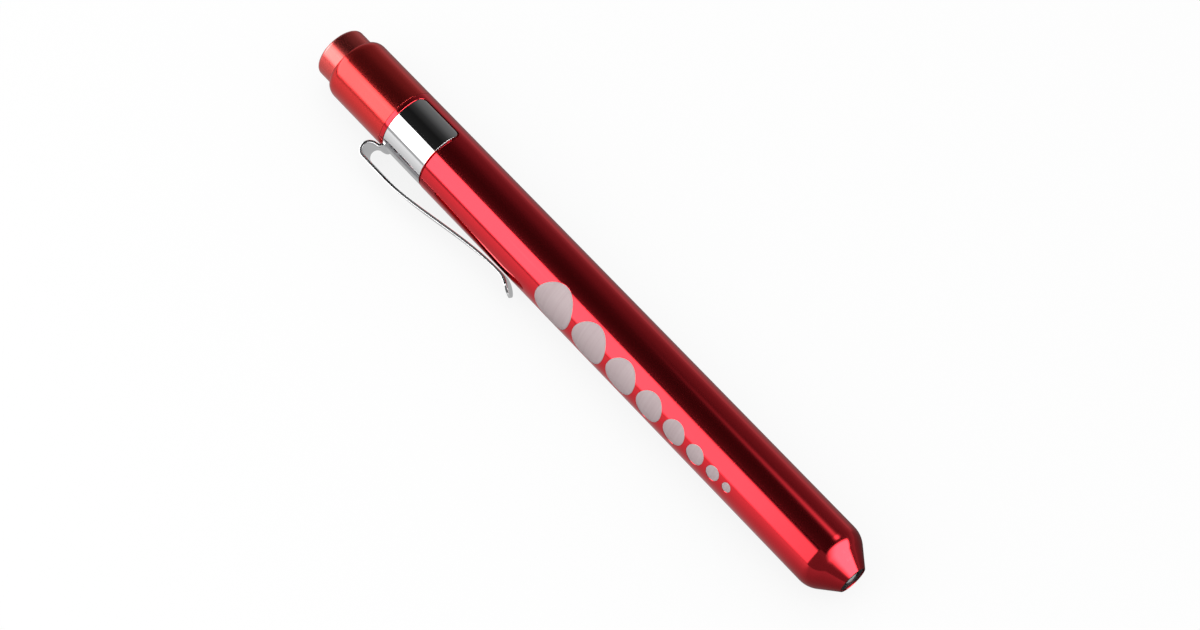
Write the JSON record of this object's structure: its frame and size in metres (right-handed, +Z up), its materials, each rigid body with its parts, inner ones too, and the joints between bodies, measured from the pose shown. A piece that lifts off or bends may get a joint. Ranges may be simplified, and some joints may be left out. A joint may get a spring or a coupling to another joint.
{
  "type": "diagnostic penlight",
  "caption": "Slim metal penlight with a conical lamp nose, an etched pupil gauge along its barrel, a sprung pocket clip and a click button at its screwed tail.",
  "frame": {"origin": "middle of the footprint, on the table the penlight lies on", "axes": "+X along the barrel towards the lamp, +Z up from the table, the clip on the -Y side, turned down until it touches the table"},
  "size_m": [0.1386, 0.017, 0.013],
  "materials": {
    "red_anodised": "polished, red anodised",
    "button_red": "satin, red anodised",
    "chrome_clip": "mirror chrome on spring steel",
    "black_plastic": "moulded, matt",
    "white_plastic": "moulded, natural",
    "clear_epoxy": "clear cast epoxy",
    "tinned_lead": "tinned wire",
    "brass_contact": "stamped and turned brass",
    "plated_neck": "bare turned aluminium",
    "spring_steel": "drawn wire",
    "cell_jacket": "plain jacket, no print"
  },
  "bodies": {
    "barrel": {"barrel": "red_anodised", "pocket_clip": "chrome_clip", "lamp_holder": "black_plastic", "led_lamp": "clear_epoxy", "led_anode_lead": "tinned_lead", "led_cathode_lead": "tinned_lead", "contact_disc": "brass_contact", "ground_ring": "brass_contact", "front_cell": "cell_jacket", "rear_cell": "cell_jacket"},
    "spring": {"battery_spring": "spring_steel"},
    "tail": {"tail_sleeve": "red_anodised", "threaded_neck": "plated_neck", "ground_washer": "brass_contact", "switch_body": "black_plastic", "switch_cap": "black_plastic", "switch_terminal": "brass_contact", "switch_spring": "spring_steel"},
    "button": {"push_button": "button_red", "switch_stem": "white_plastic", "ratchet_rotor": "white_plastic", "contact_pin": "brass_contact"}
  },
  "joints": [
    {"name": "tail_travel", "type": "slide", "parent": "barrel", "child": "spring", "axis": [-1, 0, 0], "range_m": [0, 0.0056]},
    {"name": "tail_turn", "type": "hinge", "parent": "spring", "child": "tail", "pos_m": [-0.0496, 0.00204, 0.0065], "axis": [-1, 0, 0], "range_deg": [0, 2540]},
    {"name": "button_press", "type": "slide", "parent": "tail", "child": "button", "axis": [1, 0, 0], "range_m": [0, 0.0022], "stiffness_N_per_m": 400, "springref_m": -0.004, "deforming": ["switch_spring"]}
  ],
  "couplings": [
    {"joint": "tail_turn", "follows": "tail_travel", "rad_per_m": 7854}
  ]
}
